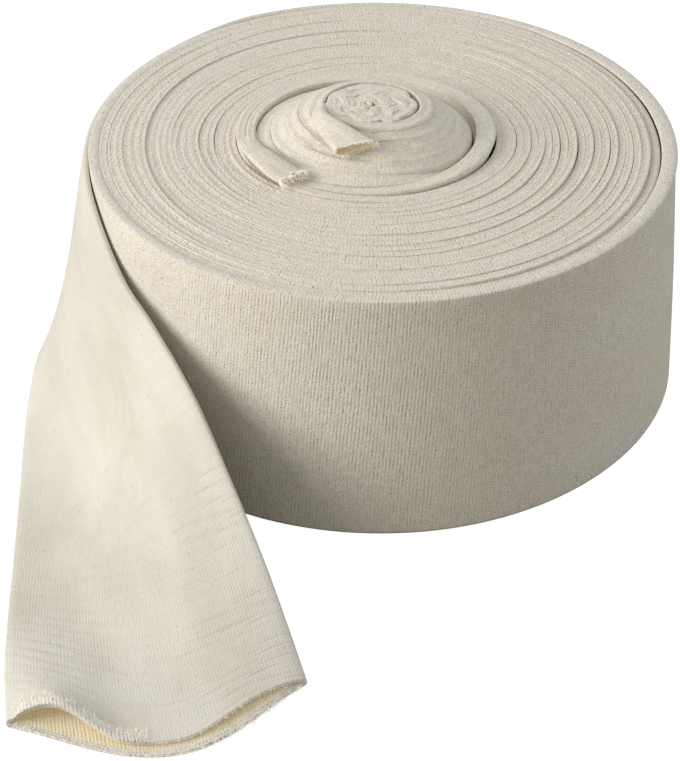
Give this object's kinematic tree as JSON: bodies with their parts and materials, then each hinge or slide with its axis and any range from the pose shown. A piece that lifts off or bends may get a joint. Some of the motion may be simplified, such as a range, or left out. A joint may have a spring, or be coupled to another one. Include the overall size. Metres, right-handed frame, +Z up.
{
  "type": "tubular bandage roll",
  "caption": "Roll of elasticated cotton tubular bandage standing on its end, the loose end twisted over and laid in front with its cut mouth open.",
  "frame": {"origin": "on the roll's axis, at its flat underside", "axes": "+Z up along the roll's axis, -Y to the front where the loose end lies, +X to the right"},
  "size_m": [0.1889, 0.2656, 0.0889],
  "materials": {
    "knitted_cotton": "undyed ribbed cotton knit, matt"
  },
  "bodies": {
    "root": {"wound_roll": "knitted_cotton", "loose_end": "knitted_cotton"}
  },
  "joints": []
}
